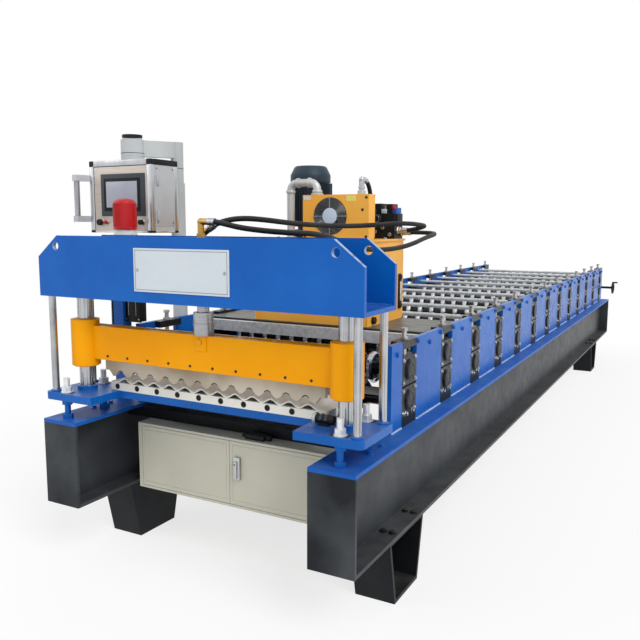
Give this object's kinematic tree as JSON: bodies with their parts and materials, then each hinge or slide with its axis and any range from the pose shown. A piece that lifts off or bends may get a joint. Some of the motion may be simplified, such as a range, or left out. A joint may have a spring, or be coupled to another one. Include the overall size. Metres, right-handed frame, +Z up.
{
  "type": "roll forming machine",
  "caption": "Roll forming line for corrugated roof sheet: twin beams on feet, roll stands, exit shear, hydraulic station and swing-arm control panel.",
  "frame": {"origin": "on the floor below the centre of the outer box", "axes": "+X to the right seen from the shear, +Y from the shear at the front to the entry at the back, +Z up"},
  "size_m": [1.787, 6.422, 1.798],
  "materials": {
    "beam_black": "satin black paint",
    "wall_blue": "gloss blue paint",
    "roll_steel": "hard chromed steel",
    "bright_steel": "ground steel",
    "zinc": "galvanised steel",
    "blade_yellow": "gloss yellow paint",
    "tool_cream": "machined tool steel, cream",
    "tank_orange": "gloss orange paint",
    "motor_black": "matt black paint",
    "brass": "brass",
    "hose_black": "rubber",
    "panel_grey": "anodised aluminium",
    "lamp_red": "red plastic",
    "cabinet_cream": "textured cream paint",
    "plate_white": "plain plate"
  },
  "bodies": {
    "frame": {"main_beams": "beam_black", "cross_members": "beam_black", "feet": "beam_black", "wall_plates": "wall_blue", "base_blocks": "beam_black", "bearing_blocks": "beam_black", "cap_bars": "beam_black", "tie_bars": "zinc", "adjusting_screws": "zinc", "lower_rolls": "roll_steel", "guide_tables": "zinc", "shear_base": "wall_blue", "levelling_studs": "zinc", "tie_columns": "bright_steel", "guide_columns": "bright_steel", "shear_head": "wall_blue", "name_plate": "plate_white", "hydraulic_cylinder": "motor_black", "exit_die": "tool_cream", "exit_sensor": "motor_black", "tank_rails": "beam_black", "oil_tank": "tank_orange", "pump_motor": "motor_black", "oil_cooler": "tank_orange", "valve_block": "motor_black", "return_pipe": "bright_steel", "hose_fittings": "brass", "hose_upper": "hose_black", "hose_lower": "hose_black", "hose_cooler": "hose_black", "panel_column": "panel_grey", "signal_post": "wall_blue", "signal_lamp": "lamp_red", "electrical_cabinet": "cabinet_cream", "entry_table": "zinc"},
    "blade": {"piston_rod": "bright_steel", "blade_beam": "blade_yellow", "upper_blade": "tool_cream"},
    "arm": {"panel_arm": "panel_grey"},
    "panel": {"control_box": "panel_grey"},
    "door_left": {"cabinet_door_left": "cabinet_cream"},
    "door_right": {"cabinet_door_right": "cabinet_cream"},
    "fan": {"cooler_fan": "motor_black"},
    "handwheel": {"entry_handwheel": "motor_black"},
    "upper_roll_01": {"upper_roll_01": "roll_steel"},
    "upper_roll_02": {"upper_roll_02": "roll_steel"},
    "upper_roll_03": {"upper_roll_03": "roll_steel"},
    "upper_roll_04": {"upper_roll_04": "roll_steel"},
    "upper_roll_05": {"upper_roll_05": "roll_steel"},
    "upper_roll_06": {"upper_roll_06": "roll_steel"},
    "upper_roll_07": {"upper_roll_07": "roll_steel"},
    "upper_roll_08": {"upper_roll_08": "roll_steel"},
    "upper_roll_09": {"upper_roll_09": "roll_steel"},
    "upper_roll_10": {"upper_roll_10": "roll_steel"},
    "upper_roll_11": {"upper_roll_11": "roll_steel"},
    "upper_roll_12": {"upper_roll_12": "roll_steel"},
    "upper_roll_13": {"upper_roll_13": "roll_steel"}
  },
  "joints": [
    {"name": "blade_slide", "type": "slide", "parent": "frame", "child": "blade", "axis": [0, 0, 1], "range_m": [-0.05, 0.025]},
    {"name": "arm_swing", "type": "hinge", "parent": "frame", "child": "arm", "pos_m": [-0.5365, -2.39, 1.65], "axis": [0, 0, 1], "range_deg": [-90, 10]},
    {"name": "panel_swivel", "type": "hinge", "parent": "arm", "child": "panel", "pos_m": [-0.6575, -2.563, 1.688], "axis": [0, 0, 1], "range_deg": [-80, 15]},
    {"name": "door_left_hinge", "type": "hinge", "parent": "frame", "child": "door_left", "pos_m": [-0.3225, -2.9065, 0.404], "axis": [0, 0, 1], "range_deg": [-95, 0]},
    {"name": "door_right_hinge", "type": "hinge", "parent": "frame", "child": "door_right", "pos_m": [0.5735, -2.9065, 0.404], "axis": [0, 0, 1], "range_deg": [0, 95]},
    {"name": "fan_spin", "type": "hinge", "parent": "frame", "child": "fan", "pos_m": [0.2335, -2.251, 1.424], "axis": [0, 1, 0], "continuous": true},
    {"name": "handwheel_spin", "type": "hinge", "parent": "frame", "child": "handwheel", "pos_m": [0.7255, 3.141, 0.7215], "axis": [1, 0, 0], "continuous": true},
    {"name": "upper_roll_01_spin", "type": "hinge", "parent": "frame", "child": "upper_roll_01", "pos_m": [0.1255, -2.569, 0.824], "axis": [1, 0, 0], "continuous": true},
    {"name": "upper_roll_02_spin", "type": "hinge", "parent": "frame", "child": "upper_roll_02", "pos_m": [0.1255, -2.119, 0.824], "axis": [1, 0, 0], "continuous": true},
    {"name": "upper_roll_03_spin", "type": "hinge", "parent": "frame", "child": "upper_roll_03", "pos_m": [0.1255, -1.669, 0.824], "axis": [1, 0, 0], "continuous": true},
    {"name": "upper_roll_04_spin", "type": "hinge", "parent": "frame", "child": "upper_roll_04", "pos_m": [0.1255, -1.219, 0.824], "axis": [1, 0, 0], "continuous": true},
    {"name": "upper_roll_05_spin", "type": "hinge", "parent": "frame", "child": "upper_roll_05", "pos_m": [0.1255, -0.769, 0.824], "axis": [1, 0, 0], "continuous": true},
    {"name": "upper_roll_06_spin", "type": "hinge", "parent": "frame", "child": "upper_roll_06", "pos_m": [0.1255, -0.319, 0.824], "axis": [1, 0, 0], "continuous": true},
    {"name": "upper_roll_07_spin", "type": "hinge", "parent": "frame", "child": "upper_roll_07", "pos_m": [0.1255, 0.131, 0.824], "axis": [1, 0, 0], "continuous": true},
    {"name": "upper_roll_08_spin", "type": "hinge", "parent": "frame", "child": "upper_roll_08", "pos_m": [0.1255, 0.581, 0.824], "axis": [1, 0, 0], "continuous": true},
    {"name": "upper_roll_09_spin", "type": "hinge", "parent": "frame", "child": "upper_roll_09", "pos_m": [0.1255, 1.031, 0.824], "axis": [1, 0, 0], "continuous": true},
    {"name": "upper_roll_10_spin", "type": "hinge", "parent": "frame", "child": "upper_roll_10", "pos_m": [0.1255, 1.481, 0.824], "axis": [1, 0, 0], "continuous": true},
    {"name": "upper_roll_11_spin", "type": "hinge", "parent": "frame", "child": "upper_roll_11", "pos_m": [0.1255, 1.931, 0.824], "axis": [1, 0, 0], "continuous": true},
    {"name": "upper_roll_12_spin", "type": "hinge", "parent": "frame", "child": "upper_roll_12", "pos_m": [0.1255, 2.381, 0.824], "axis": [1, 0, 0], "continuous": true},
    {"name": "upper_roll_13_spin", "type": "hinge", "parent": "frame", "child": "upper_roll_13", "pos_m": [0.1255, 2.831, 0.824], "axis": [1, 0, 0], "continuous": true}
  ],
  "couplings": [
    {"joint": "upper_roll_02_spin", "follows": "upper_roll_01_spin", "ratio": 1},
    {"joint": "upper_roll_03_spin", "follows": "upper_roll_01_spin", "ratio": 1},
    {"joint": "upper_roll_04_spin", "follows": "upper_roll_01_spin", "ratio": 1},
    {"joint": "upper_roll_05_spin", "follows": "upper_roll_01_spin", "ratio": 1},
    {"joint": "upper_roll_06_spin", "follows": "upper_roll_01_spin", "ratio": 1},
    {"joint": "upper_roll_07_spin", "follows": "upper_roll_01_spin", "ratio": 1},
    {"joint": "upper_roll_08_spin", "follows": "upper_roll_01_spin", "ratio": 1},
    {"joint": "upper_roll_09_spin", "follows": "upper_roll_01_spin", "ratio": 1},
    {"joint": "upper_roll_10_spin", "follows": "upper_roll_01_spin", "ratio": 1},
    {"joint": "upper_roll_11_spin", "follows": "upper_roll_01_spin", "ratio": 1},
    {"joint": "upper_roll_12_spin", "follows": "upper_roll_01_spin", "ratio": 1},
    {"joint": "upper_roll_13_spin", "follows": "upper_roll_01_spin", "ratio": 1}
  ]
}
